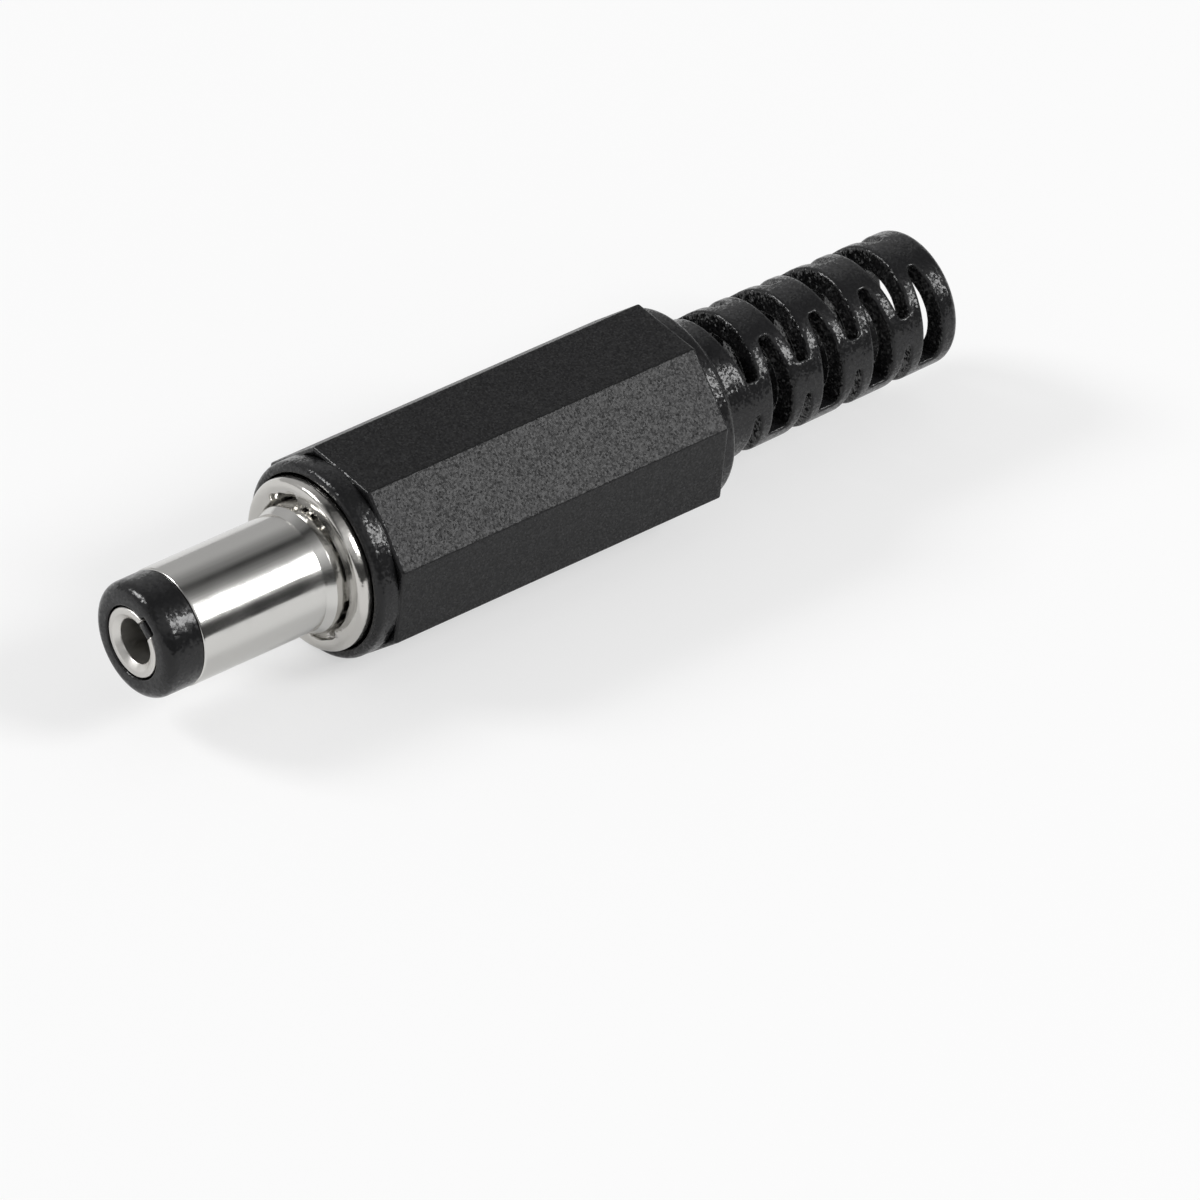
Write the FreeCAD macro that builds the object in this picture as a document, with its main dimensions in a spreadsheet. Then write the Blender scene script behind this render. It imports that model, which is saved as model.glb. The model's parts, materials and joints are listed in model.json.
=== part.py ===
import FreeCAD, Part
import math
import os
import Sketcher

# A straight DC power plug for the end of a cord, 5.5 mm outside and 2.1 mm inside.
# Millimetres. The plug's axis is X, with the tip towards +X and up along +Z.
# The origin is on the axis, in the front face of the collar that meets the socket.
# At rest the plug lies on one flat of its eight-sided hood.

SIZES = [
    ("barrel_radius", 2.75, "outside of the plug barrel, half of 5.5"),
    ("barrel_wall", 0.35, "thickness of the barrel tube"),
    ("barrel_reach", 7.6, "from the collar face to the front edge of the barrel"),
    ("barrel_edge", 0.09, "bevel of the front edge of the barrel"),
    ("neck_radius", 2.95, "thick root of the barrel"),
    ("neck_front", 0.45, "front end of the thick root"),
    ("neck_cone", 0.4, "length of the cone from the root down to the barrel"),
    ("seat_radius", 2.65, "barrel, where the collar is pressed on it"),
    ("plug_reach", 9.5, "from the collar face to the tip"),
    ("nose_shrink", 0.04, "how far the nose lies under the barrel"),
    ("nose_round", 0.75, "rounding of the nose"),
    ("nose_rim", 0.09, "bevel at the mouth of the nose"),
    ("press_gap", 0.02, "gap all round between pieces pressed together"),
    ("contact_gap", 0.08, "gap all round the free front of the centre contact"),
    ("contact_radius", 1.64, "outside of the centre contact"),
    ("contact_recess", 0.02, "how far the contact lies behind the tip"),
    ("contact_rim", 0.45, "width of the contact's front rim"),
    ("funnel_length", 0.15, "depth of the lead-in of the contact"),
    ("socket_radius", 1.05, "bore of the contact, half of 2.1"),
    ("socket_depth", 11.2, "depth of the bore behind the tip of the contact"),
    ("slit_width", 0.85, "width of the slit of the contact"),
    ("slit_length", 5.0, "length of the slit of the contact"),
    ("slit_turn", 58.0, "direction of the slit, in degrees from the side"),
    ("key_gap", 0.05, "gap between the slit and the key that fills it"),
    ("key_length", 1.4, "length of the key behind the tip"),
    ("key_notch", 0.3, "width of the notch outside the key"),
    ("key_notch_depth", 0.45, "depth of the mouth's notch, and of the key behind the contact's front"),
    ("tail_radius", 0.75, "rivet tail of the centre contact"),
    ("tail_head_radius", 1.15, "riveted head of the tail"),
    ("tail_head_length", 0.35, "thickness of the riveted head"),
    ("flange_radius", 4.04, "outside of the collar's flange"),
    ("flange_length", 0.95, "thickness of the flange"),
    ("flange_edge", 0.22, "bevel of the flange's front edge"),
    ("recess_radius", 3.12, "recess in the flange round the barrel"),
    ("recess_depth", 0.7, "depth of the recess"),
    ("stake_width", 1.5, "width of the two staking notches of the recess"),
    ("stake_depth", 0.24, "how far the notches reach outside the recess"),
    ("stake_turn", 122.0, "direction of the first notch, in degrees from the side"),
    ("thread_radius", 3.6, "outside of the collar's thread"),
    ("thread_length", 4.35, "length of the threaded part"),
    ("thread_chamfer", 0.3, "chamfer at the end of the thread"),
    ("clinch_radius", 3.0, "clinched rear rim of the barrel"),
    ("clinch_length", 0.35, "thickness of the clinched rim"),
    ("sheet", 0.35, "thickness of the two solder tags"),
    ("rear_stop", 1.6, "thickness of the rear insulator's part inside the barrel"),
    ("rear_flange_radius", 2.9, "outside of the rear insulator's flange"),
    ("rear_flange", 0.6, "thickness of the rear insulator's flange"),
    ("tag_width", 1.8, "width of the centre tag"),
    ("tag_ring", 1.35, "radius of the centre tag's eye"),
    ("tag_length", 4.2, "length of the centre tag behind its eye"),
    ("tag_hole", 0.45, "radius of the wire hole of the centre tag"),
    ("lug_width", 1.8, "width of the sleeve lug's strip"),
    ("lug_washer", 3.35, "outside of the lug's washer"),
    ("lug_inner", 3.03, "distance of the strip and the clamp from the axis"),
    ("lug_strip", 7.2, "length of the strip"),
    ("clamp_length", 4.0, "length of the cord clamp"),
    ("clamp_turn", 105.0, "half angle of the clamp's wings"),
    ("across_flats", 9.3, "hood, across two opposite flats"),
    ("grip_front", 1.66, "from the collar face back to the eight-sided grip"),
    ("grip_length", 18.54, "length of the eight-sided grip"),
    ("lip_proud", 0.6, "how far the flange stands out of the hood"),
    ("hood_collar_radius", 4.6, "round collar at the front of the hood"),
    ("hood_collar_edge", 0.22, "bevel of its front edge"),
    ("rear_collar_radius", 4.58, "round collar at the back of the grip"),
    ("rear_collar_length", 0.75, "length of that collar"),
    ("rear_collar_edge", 0.22, "bevel of its back edge"),
    ("step_length", 0.35, "low step between the collar and the strain relief"),
    ("root_slope", 0.2, "sloping root of the strain relief"),
    ("flange_gap", 0.08, "gap all round between the flange and the hood"),
    ("thread_gap", 0.05, "running gap all round in the screw thread"),
    ("throat_length", 1.4, "cone from the room inside the hood down to the cord's bore"),
    ("cord_radius", 2.2, "bore for the cord, in the end ring"),
    ("cord_root_radius", 2.35, "bore for the cord, at the grip: it tapers as its core was drawn"),
    ("cord_rim", 0.15, "bevel at the mouth of the cord's bore"),
    ("relief_root_radius", 3.36, "strain relief, outside at the root"),
    ("relief_end_radius", 3.19, "strain relief, outside at the end"),
    ("relief_end_edge", 0.25, "bevel of the free end"),
    ("first_slot", 3.04, "from the grip to the middle of the first slot"),
    ("slot_pitch", 2.98, "pitch of each row of slots"),
    ("slot_width", 1.28, "width of a slot at the surface"),
    ("end_ring", 0.9, "solid ring behind the last slot"),
    ("top_slot_reach", 2.62, "half length of a top slot, sideways"),
    ("top_slot_floor", 1.3, "height of the top slot's floor over the axis"),
    ("top_slot_root", 0.4, "width of a top slot at its floor"),
    ("low_slot_top", 0.38, "height of the lower slot's top over the axis"),
    ("low_slot_root", 0.25, "width of a lower slot at its top"),
    ("side_slot_high", 2.94, "upper end of a side slot"),
    ("side_slot_low", 1.15, "lower end of a side slot, under the axis"),
    ("side_slot_floor", 0.85, "distance of the side slot's floor from the middle"),
    ("side_slot_root", 0.4, "width of a side slot at its floor"),
]
SLOTS_IN_A_ROW = 4
GRIP_SIDES = 8
ALIASES = {alias for alias, value, meaning in SIZES}

doc = FreeCAD.newDocument("dc_barrel_plug")
sheet = doc.addObject("Spreadsheet::Sheet", "sizes")
for row, (alias, value, meaning) in enumerate(SIZES, start=1):
    sheet.set(f"A{row}", alias)
    sheet.set(f"B{row}", str(value))
    sheet.set(f"C{row}", meaning)
    sheet.setAlias(f"B{row}", alias)
doc.recompute()

# Places that follow from the sizes, written once as expressions. X grows towards the tip.
FORMULAS = {
    "barrel_bore": "barrel_radius - barrel_wall",
    "thread_end": "-flange_length - thread_length",
    "clinch_front": "thread_end - sheet - press_gap",
    "clinch_back": "clinch_front - clinch_length",
    "rear_flange_back": "clinch_back - press_gap - rear_flange",
    "contact_front": "plug_reach - contact_recess",
    "grip_back": "-grip_front - grip_length",
    "rear_collar_back": "grip_back - rear_collar_length",
    "step_back": "rear_collar_back - step_length",
    "last_slot": f"grip_back - first_slot - {SLOTS_IN_A_ROW - 0.5} * slot_pitch",
    "relief_back": "last_slot - slot_width / 2 - end_ring",
    "step_radius": "(rear_collar_radius + relief_root_radius) / 2",
    "slot_mouth": "(step_radius + relief_root_radius) / 2",
}


def formula(text):
    """Writes out the derived places in an expression and names the sheet before each alias."""
    words = []
    word = ""
    for letter in text + " ":
        if letter.isalnum() or letter == "_":
            word += letter
            continue
        if word in FORMULAS:
            words.append("(" + formula(FORMULAS[word]).strip() + ")")
        elif word in ALIASES:
            words.append("sizes." + word)
        else:
            words.append(word)
        words.append(letter)
        word = ""
    return "".join(words).strip()


def size(text):
    """The present value of an expression, for picking edges and first guesses."""
    value = sheet.evalExpression(formula(text))
    return float(getattr(value, "Value", value))


def new_body(label):
    body = doc.addObject("PartDesign::Body", label)
    body.Label = label
    body.Placement = FreeCAD.Placement()
    return body


def origin_plane(body, role):
    return [plane for plane in body.Origin.OriginFeatures if plane.Role == role][0]


def new_sketch(body, name, role, offset="0", turn="0"):
    """A sketch on one of the body's own planes, moved along the plane's normal and turned in it."""
    sketch = body.newObject("Sketcher::SketchObject", name)
    sketch.AttachmentSupport = [(origin_plane(body, role), "")]
    sketch.MapMode = "FlatFace"
    sketch.setExpression("AttachmentOffset.Base.z", "(" + formula(offset) + ") * 1 mm")
    sketch.setExpression("AttachmentOffset.Rotation.Angle", "(" + formula(turn) + ") * 1 deg")
    return sketch


def fix_point(sketch, geometry, end, across, up):
    """Ties one end of a line to the sketch's origin by two expressions."""
    for kind, text in (("DistanceX", across), ("DistanceY", up)):
        number = sketch.addConstraint(Sketcher.Constraint(kind, -1, 1, geometry, end, size(text)))
        sketch.setExpression(f"Constraints[{number}]", formula(text))


def outline(sketch, corners):
    """A closed outline of straight lines through the corners, each tied by its two expressions."""
    points = [FreeCAD.Vector(size(across), size(up), 0) for across, up in corners]
    lines = []
    for start, end in zip(points, points[1:] + points[:1]):
        lines.append(sketch.addGeometry(Part.LineSegment(start, end)))
    for line, following in zip(lines, lines[1:] + lines[:1]):
        sketch.addConstraint(Sketcher.Constraint("Coincident", line, 2, following, 1))
    for line, (across, up) in zip(lines, corners):
        fix_point(sketch, line, 1, across, up)
    return sketch


def turned(body, name, corners, cut=False):
    """Turns an outline of (place along the axis, radius) corners about the plug's axis."""
    sketch = outline(new_sketch(body, name + "_outline", "XZ_Plane"), corners)
    kind = "PartDesign::Groove" if cut else "PartDesign::Revolution"
    feature = body.newObject(kind, name)
    feature.Profile = sketch
    feature.ReferenceAxis = (sketch, ["H_Axis"])
    feature.Angle = 360.0
    doc.recompute()
    return feature


def circle(sketch, radius, across="0", up="0"):
    """A circle with its radius and its centre tied by expressions."""
    centre = FreeCAD.Vector(size(across), size(up), 0)
    ring = sketch.addGeometry(Part.Circle(centre, FreeCAD.Vector(0, 0, 1), size(radius)))
    fix_point(sketch, ring, 3, across, up)
    number = sketch.addConstraint(Sketcher.Constraint("Radius", ring, size(radius)))
    sketch.setExpression(f"Constraints[{number}]", formula(radius))
    return sketch


def extruded(body, name, sketch, length, cut=False, both_ways=False, forwards=True):
    """Pads or pockets a sketch by an expression. Forwards is along the sketch's normal."""
    feature = body.newObject("PartDesign::Pocket" if cut else "PartDesign::Pad", name)
    feature.Profile = sketch
    feature.setExpression("Length", formula(length))
    feature.Midplane = both_ways
    feature.Reversed = (forwards == cut) and not both_ways
    doc.recompute()
    return feature


def repeated_round(body, name, feature, count):
    """Repeats a feature evenly round the plug's axis."""
    pattern = body.newObject("PartDesign::PolarPattern", name)
    pattern.Originals = [feature]
    pattern.Axis = (origin_plane(body, "X_Axis"), [""])
    pattern.Angle = 360.0
    pattern.Occurrences = count
    body.Tip = pattern
    doc.recompute()
    return pattern


def ring_edges(body, along, radius):
    """Names of the full circular edges of this radius at this place on the axis."""
    found = []
    for number, edge in enumerate(body.Tip.Shape.Edges, start=1):
        if not isinstance(edge.Curve, Part.Circle):
            continue
        centre = edge.Curve.Center
        here = abs(centre.x - size(along)) < 1e-4 and math.hypot(centre.y, centre.z) < 1e-4
        if here and abs(edge.Curve.Radius - size(radius)) < 1e-4:
            found.append(f"Edge{number}")
    return found


def worked_ring(body, kind, name, width, along, radius):
    """Fillets or chamfers the circular edge at this place on the axis and this radius."""
    edges = (body.Tip, ring_edges(body, along, radius))
    feature = body.newObject("PartDesign::" + kind, name)
    feature.Base = edges
    feature.setExpression("Radius" if kind == "Fillet" else "Size", formula(width))
    body.Tip = feature
    doc.recompute()
    return feature


def make_barrel():
    """The outer contact: a drawn tube with a thick root and a rear rim clinched over the lug."""
    body = new_body("barrel")
    turned(body, "barrel_tube", [
        ("clinch_back", "barrel_bore"),
        ("barrel_reach", "barrel_bore"),
        ("barrel_reach", "barrel_radius"),
        ("neck_front + neck_cone", "barrel_radius"),
        ("neck_front", "neck_radius"),
        ("-recess_depth + press_gap", "neck_radius"),
        ("-recess_depth + press_gap", "seat_radius"),
        ("clinch_front", "seat_radius"),
        ("clinch_front", "clinch_radius"),
        ("clinch_back", "clinch_radius"),
    ])
    worked_ring(body, "Chamfer", "front_edge", "barrel_edge", "barrel_reach", "barrel_radius")
    return body


def make_threaded_collar():
    """The turned collar: a flange that meets the socket and the threaded part for the hood."""
    body = new_body("threaded_collar")
    turned(body, "collar_blank", [
        ("thread_end", "seat_radius + press_gap"),
        ("-recess_depth", "seat_radius + press_gap"),
        ("-recess_depth", "recess_radius"),
        ("0", "recess_radius"),
        ("0", "flange_radius"),
        ("-flange_length", "flange_radius"),
        ("-flange_length", "thread_radius"),
        ("thread_end", "thread_radius"),
    ])
    worked_ring(body, "Chamfer", "flange_front", "flange_edge", "0", "flange_radius")
    worked_ring(body, "Chamfer", "thread_start", "thread_chamfer", "thread_end", "thread_radius")
    sketch = new_sketch(body, "stake_outline", "YZ_Plane", "0", "stake_turn")
    outline(sketch, [
        ("neck_radius + press_gap", "-stake_width / 2"),
        ("recess_radius + stake_depth", "-stake_width / 2"),
        ("recess_radius + stake_depth", "stake_width / 2"),
        ("neck_radius + press_gap", "stake_width / 2"),
    ])
    notch = extruded(body, "stake_notch", sketch, "recess_depth / 2", cut=True, forwards=False)
    repeated_round(body, "stake_notches", notch, 2)
    return body


def make_tip_insulator():
    """The black nose and the tube behind it that keeps the contact clear of the barrel."""
    body = new_body("tip_insulator")
    turned(body, "nose_blank", [
        ("thread_end + rear_stop", "contact_radius + press_gap"),
        ("plug_reach - slit_length", "contact_radius + press_gap"),
        ("plug_reach - slit_length", "contact_radius + contact_gap"),
        ("plug_reach", "contact_radius + contact_gap"),
        ("plug_reach", "barrel_radius - nose_shrink"),
        ("barrel_reach + press_gap", "barrel_radius - nose_shrink"),
        ("barrel_reach + press_gap", "barrel_bore - press_gap"),
        ("thread_end + rear_stop", "barrel_bore - press_gap"),
    ])
    worked_ring(body, "Chamfer", "nose_mouth", "nose_rim", "plug_reach", "contact_radius + contact_gap")
    worked_ring(body, "Fillet", "nose_dome", "nose_round", "plug_reach", "barrel_radius - nose_shrink")
    notch = new_sketch(body, "notch_outline", "YZ_Plane", "plug_reach", "slit_turn")
    outline(notch, [
        ("contact_radius + contact_gap", "-slit_width / 2"),
        ("contact_radius + contact_gap + key_notch", "-slit_width / 2"),
        ("contact_radius + contact_gap + key_notch", "slit_width / 2"),
        ("contact_radius + contact_gap", "slit_width / 2"),
    ])
    extruded(body, "key_relief", notch, "key_notch_depth", cut=True, forwards=False)
    key = new_sketch(body, "key_outline", "YZ_Plane", "contact_front - key_length", "slit_turn")
    outline(key, [
        ("socket_radius + key_gap", "-slit_width / 2 + key_gap"),
        ("barrel_bore - barrel_wall", "-slit_width / 2 + key_gap"),
        ("barrel_bore - barrel_wall", "slit_width / 2 - key_gap"),
        ("socket_radius + key_gap", "slit_width / 2 - key_gap"),
    ])
    extruded(body, "key", key, "key_length - key_notch_depth")
    return body


def make_centre_contact():
    """The split spring tube that takes the socket's pin, with a rivet tail for the centre tag."""
    body = new_body("centre_contact")
    tail_back = "rear_flange_back - press_gap - sheet - press_gap - tail_head_length"
    turned(body, "contact_blank", [
        (tail_back, "0"),
        ("contact_front - socket_depth", "0"),
        ("contact_front - socket_depth", "socket_radius"),
        ("contact_front - funnel_length", "socket_radius"),
        ("contact_front", "contact_radius - contact_rim"),
        ("contact_front", "contact_radius"),
        ("thread_end + rear_stop + press_gap", "contact_radius"),
        ("thread_end + rear_stop + press_gap", "tail_radius"),
        (tail_back + " + tail_head_length", "tail_radius"),
        (tail_back + " + tail_head_length", "tail_head_radius"),
        (tail_back, "tail_head_radius"),
    ])
    sketch = new_sketch(body, "slit_outline", "YZ_Plane", "contact_front", "slit_turn")
    outline(sketch, [
        ("0", "-slit_width / 2"),
        ("contact_radius + barrel_wall", "-slit_width / 2"),
        ("contact_radius + barrel_wall", "slit_width / 2"),
        ("0", "slit_width / 2"),
    ])
    extruded(body, "slit", sketch, "slit_length", cut=True, forwards=False)
    return body


def make_rear_insulator():
    """The disc behind the barrel that centres the contact's tail and parts the two tags."""
    body = new_body("rear_insulator")
    turned(body, "disc", [
        ("rear_flange_back", "tail_radius + press_gap"),
        ("thread_end + rear_stop - press_gap", "tail_radius + press_gap"),
        ("thread_end + rear_stop - press_gap", "barrel_bore - press_gap"),
        ("clinch_back - press_gap", "barrel_bore - press_gap"),
        ("clinch_back - press_gap", "rear_flange_radius"),
        ("rear_flange_back", "rear_flange_radius"),
    ])
    return body


def make_centre_tag():
    """The short solder tag: an eye round the rivet tail and a tongue bent straight back."""
    body = new_body("centre_tag")
    eye = new_sketch(body, "eye_outline", "YZ_Plane", "rear_flange_back - press_gap - sheet")
    circle(eye, "tag_ring")
    circle(eye, "tail_radius + press_gap")
    extruded(body, "eye", eye, "sheet")
    tongue = new_sketch(body, "tongue_outline", "XY_Plane", "tag_ring - sheet / 2")
    outline(tongue, [
        ("rear_flange_back - press_gap", "-tag_width / 2"),
        ("rear_flange_back - press_gap", "tag_width / 2"),
        ("rear_flange_back - press_gap - tag_length", "tag_width / 2"),
        ("rear_flange_back - press_gap - tag_length", "-tag_width / 2"),
    ])
    extruded(body, "tongue", tongue, "sheet")
    hole = new_sketch(body, "wire_hole_outline", "XY_Plane", "tag_ring + sheet")
    circle(hole, "tag_hole", "rear_flange_back - press_gap - tag_length + tag_width / 2", "0")
    extruded(body, "wire_hole", hole, "2 * sheet", cut=True, forwards=False)
    return body


def make_sleeve_lug():
    """The earth tag: a washer under the clinched rim, a strip and the trough that grips the cord."""
    body = new_body("sleeve_lug")
    washer_back = "thread_end - press_gap / 2 - sheet"
    clamp_front = washer_back + " - lug_strip"
    washer = new_sketch(body, "washer_outline", "YZ_Plane", washer_back)
    circle(washer, "lug_washer")
    circle(washer, "seat_radius + press_gap")
    extruded(body, "washer", washer, "sheet")
    strip = new_sketch(body, "strip_outline", "XY_Plane", "-lug_inner - sheet")
    outline(strip, [
        ("thread_end - press_gap / 2", "-lug_width / 2"),
        ("thread_end - press_gap / 2", "lug_width / 2"),
        (clamp_front + " - sheet", "lug_width / 2"),
        (clamp_front + " - sheet", "-lug_width / 2"),
    ])
    extruded(body, "strip", strip, "sheet")
    wall = outline(new_sketch(body, "clamp_outline", "XZ_Plane"), [
        (clamp_front, "-lug_inner"),
        (clamp_front + " - clamp_length", "-lug_inner"),
        (clamp_front + " - clamp_length", "-lug_inner - sheet"),
        (clamp_front, "-lug_inner - sheet"),
    ])
    clamp = body.newObject("PartDesign::Revolution", "clamp")
    clamp.Profile = wall
    clamp.ReferenceAxis = (wall, ["H_Axis"])
    clamp.Midplane = True
    clamp.setExpression("Angle", formula("2 * clamp_turn"))
    doc.recompute()
    return body


def slot_outline(body, name, role, middle, mouth, floor, floor_width, offset="0"):
    """A slot with sloping walls, wide at its mouth and narrower at its floor, about one place on X."""
    return outline(new_sketch(body, name, role, offset), [
        (f"{middle} + slot_width / 2", mouth),
        (f"{middle} - slot_width / 2", mouth),
        (f"{middle} - {floor_width} / 2", floor),
        (f"{middle} + {floor_width} / 2", floor),
    ])


def make_hood():
    """The screw-on moulding: an eight-sided grip and the slotted strain relief behind it."""
    body = new_body("hood")
    turned(body, "round_blank", [
        ("-lip_proud", "0"),
        ("-lip_proud", "hood_collar_radius"),
        ("-grip_front - rear_collar_length", "hood_collar_radius"),
        ("-grip_front - rear_collar_length", "rear_collar_radius"),
        ("rear_collar_back", "rear_collar_radius"),
        ("rear_collar_back", "step_radius"),
        ("step_back", "step_radius"),
        ("step_back", "relief_root_radius"),
        ("relief_back", "relief_end_radius"),
        ("relief_back", "0"),
    ])
    worked_ring(body, "Chamfer", "collar_front_edge", "hood_collar_edge", "-lip_proud", "hood_collar_radius")
    worked_ring(body, "Chamfer", "collar_back_edge", "rear_collar_edge", "rear_collar_back",
                "rear_collar_radius")
    worked_ring(body, "Chamfer", "relief_root", "root_slope", "step_back", "relief_root_radius")
    worked_ring(body, "Chamfer", "relief_end", "relief_end_edge", "relief_back", "relief_end_radius")
    sketch = new_sketch(body, "grip_outline", "YZ_Plane", "grip_back")
    corners = []
    for side in range(GRIP_SIDES):
        angle = (side + 0.5) * 360 / GRIP_SIDES
        reach = f"across_flats / 2 / cos({180 / GRIP_SIDES} deg)"
        corners.append((f"{reach} * cos({angle} deg)", f"{reach} * sin({angle} deg)"))
    outline(sketch, corners)
    extruded(body, "grip", sketch, "grip_length")
    turned(body, "inside", [
        ("0", "0"),
        ("0", "flange_radius + flange_gap"),
        ("-flange_length - press_gap", "flange_radius + flange_gap"),
        ("-flange_length - press_gap", "thread_radius + thread_gap"),
        ("grip_back + throat_length", "thread_radius + thread_gap"),
        ("grip_back", "cord_root_radius"),
        ("relief_back + end_ring", "cord_radius"),
        ("relief_back - end_ring", "cord_radius"),
        ("relief_back - end_ring", "0"),
    ], cut=True)
    worked_ring(body, "Chamfer", "cord_mouth", "cord_rim", "relief_back", "cord_radius")
    row = "grip_back - first_slot"
    side_row = "grip_back - first_slot - slot_pitch / 2"
    top = slot_outline(body, "top_slot_outline", "XZ_Plane", row, "slot_mouth", "top_slot_floor",
                       "top_slot_root")
    low = slot_outline(body, "low_slot_outline", "XZ_Plane", row, "-slot_mouth", "low_slot_top",
                       "low_slot_root")
    left = slot_outline(body, "left_slot_outline", "XY_Plane", side_row, "slot_mouth", "side_slot_floor",
                        "side_slot_root", "side_slot_high")
    right = slot_outline(body, "right_slot_outline", "XY_Plane", side_row, "-slot_mouth", "-side_slot_floor",
                         "side_slot_root", "side_slot_high")
    side_length = "side_slot_high + side_slot_low"
    first_slots = [
        extruded(body, "top_slot", top, "2 * top_slot_reach", cut=True, both_ways=True),
        extruded(body, "low_slot", low, "2 * slot_mouth", cut=True, both_ways=True),
        extruded(body, "left_slot", left, side_length, cut=True, forwards=False),
        extruded(body, "right_slot", right, side_length, cut=True, forwards=False),
    ]
    pattern = body.newObject("PartDesign::LinearPattern", "slots")
    pattern.Originals = first_slots
    pattern.Direction = (top, ["H_Axis"])
    pattern.Reversed = True
    pattern.Occurrences = SLOTS_IN_A_ROW
    pattern.setExpression("Length", formula(f"{SLOTS_IN_A_ROW - 1} * slot_pitch"))
    body.Tip = pattern
    doc.recompute()
    return body


doc.recompute()
PIECES = [make_barrel(), make_threaded_collar(), make_tip_insulator(), make_centre_contact(),
          make_rear_insulator(), make_centre_tag(), make_sleeve_lug(), make_hood()]

doc.recompute()
for item in doc.Objects:
    if "Invalid" in item.State or "Error" in item.State:
        raise RuntimeError(f"{item.Label} did not compute: {item.State}")
os.makedirs("parts", exist_ok=True)
for piece in PIECES:
    shape = piece.Shape
    if shape.isNull() or not shape.isValid() or len(shape.Solids) != 1:
        raise RuntimeError(f"{piece.Label} is not one sound solid")
    shape.exportStep(f"parts/{piece.Label}.step")
    box = shape.BoundBox
    print(f"{piece.Label}: {shape.Volume:.3f} mm3, x {box.XMin:.2f} to {box.XMax:.2f}, top {box.ZMax:.2f}")
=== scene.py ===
# %% [markdown]
# # A barrel plug for low voltage, dressed for the camera
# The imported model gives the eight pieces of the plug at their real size, as plain solids. This
# lesson gives each one its real surface: rounded edges, the screw thread, the soft mouths of the
# slots, bright nickel and black moulding. Nothing is moved or resized. Lengths are written in
# millimetres.

# %% Load the frame
import json
import bmesh
import bpy
import numpy as np
from mathutils import Matrix, Vector


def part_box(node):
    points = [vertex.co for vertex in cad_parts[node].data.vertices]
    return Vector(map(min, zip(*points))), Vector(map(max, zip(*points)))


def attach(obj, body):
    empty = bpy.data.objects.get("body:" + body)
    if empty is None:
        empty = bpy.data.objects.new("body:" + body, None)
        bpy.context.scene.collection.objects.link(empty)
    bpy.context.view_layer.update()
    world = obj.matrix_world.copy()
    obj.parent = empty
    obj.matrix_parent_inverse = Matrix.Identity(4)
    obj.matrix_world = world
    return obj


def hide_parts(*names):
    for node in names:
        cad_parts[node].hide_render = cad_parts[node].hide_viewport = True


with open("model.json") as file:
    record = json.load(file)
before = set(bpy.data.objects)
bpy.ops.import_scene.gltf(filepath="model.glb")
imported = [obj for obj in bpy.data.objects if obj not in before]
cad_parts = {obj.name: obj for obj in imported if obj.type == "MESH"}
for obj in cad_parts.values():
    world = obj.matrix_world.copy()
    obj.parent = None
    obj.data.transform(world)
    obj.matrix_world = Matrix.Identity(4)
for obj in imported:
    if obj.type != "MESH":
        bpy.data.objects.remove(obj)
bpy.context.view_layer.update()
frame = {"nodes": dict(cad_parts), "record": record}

MM = 0.001
for node in sorted(frame["nodes"]):
    low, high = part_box(node)
    print(f"{node}: x {low.x / MM:.2f} to {high.x / MM:.2f}, radius {high.z / MM:.2f}")

# %% [markdown]
# The sizes come from the frame, so that the new surfaces stay where the solids are. A node's box
# gives its ends and its radius, and the mounts give the standard sizes: the barrel, the pin's bore
# and the cord's bore. What can't be read there, such as a step inside a piece, is a named value of
# its own. X runs along the plug's axis towards its tip, with 0 at the face of the metal collar.

# %% Read the sizes
MOUNTS = {mount["name"]: mount["dims"].get("r_mm") for mount in frame["record"]["mounts"]}
BARREL_RADIUS = MOUNTS["barrel_outside"]
SOCKET_RADIUS = MOUNTS["pin_socket"]
CORD_RADIUS = MOUNTS["cord_entry"]
PRESS_GAP = 0.02


def back_of(node):
    """The rear end of a node along the axis."""
    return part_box(node)[0].x / MM


def front_of(node):
    """The front end of a node along the axis."""
    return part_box(node)[1].x / MM


def top_of(node):
    """The height of a node over the axis, which is its radius where it is round."""
    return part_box(node)[1].z / MM


print("radii: barrel", BARREL_RADIUS, "socket", SOCKET_RADIUS, "cord", CORD_RADIUS)

# %% [markdown]
# Most pieces of the plug were turned on a lathe or moulded round a core, so they are profiles
# carried round the axis. A real edge is never sharp: a small arc at each corner catches the light
# as a thin bright line. So the profile is an outline whose corners are replaced by arcs.

# %% Outlines with rounded corners
# The roundings that many edges share, from one that is hardly broken to one that was rolled over.
FAINT = 0.02
CRISP = 0.03
SMALL = 0.05
GENTLE = 0.08
SOFT = 0.1
ROLLED = 0.12
SHARP = 1e-4
MOST_OF_A_SIDE = 0.98


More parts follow.
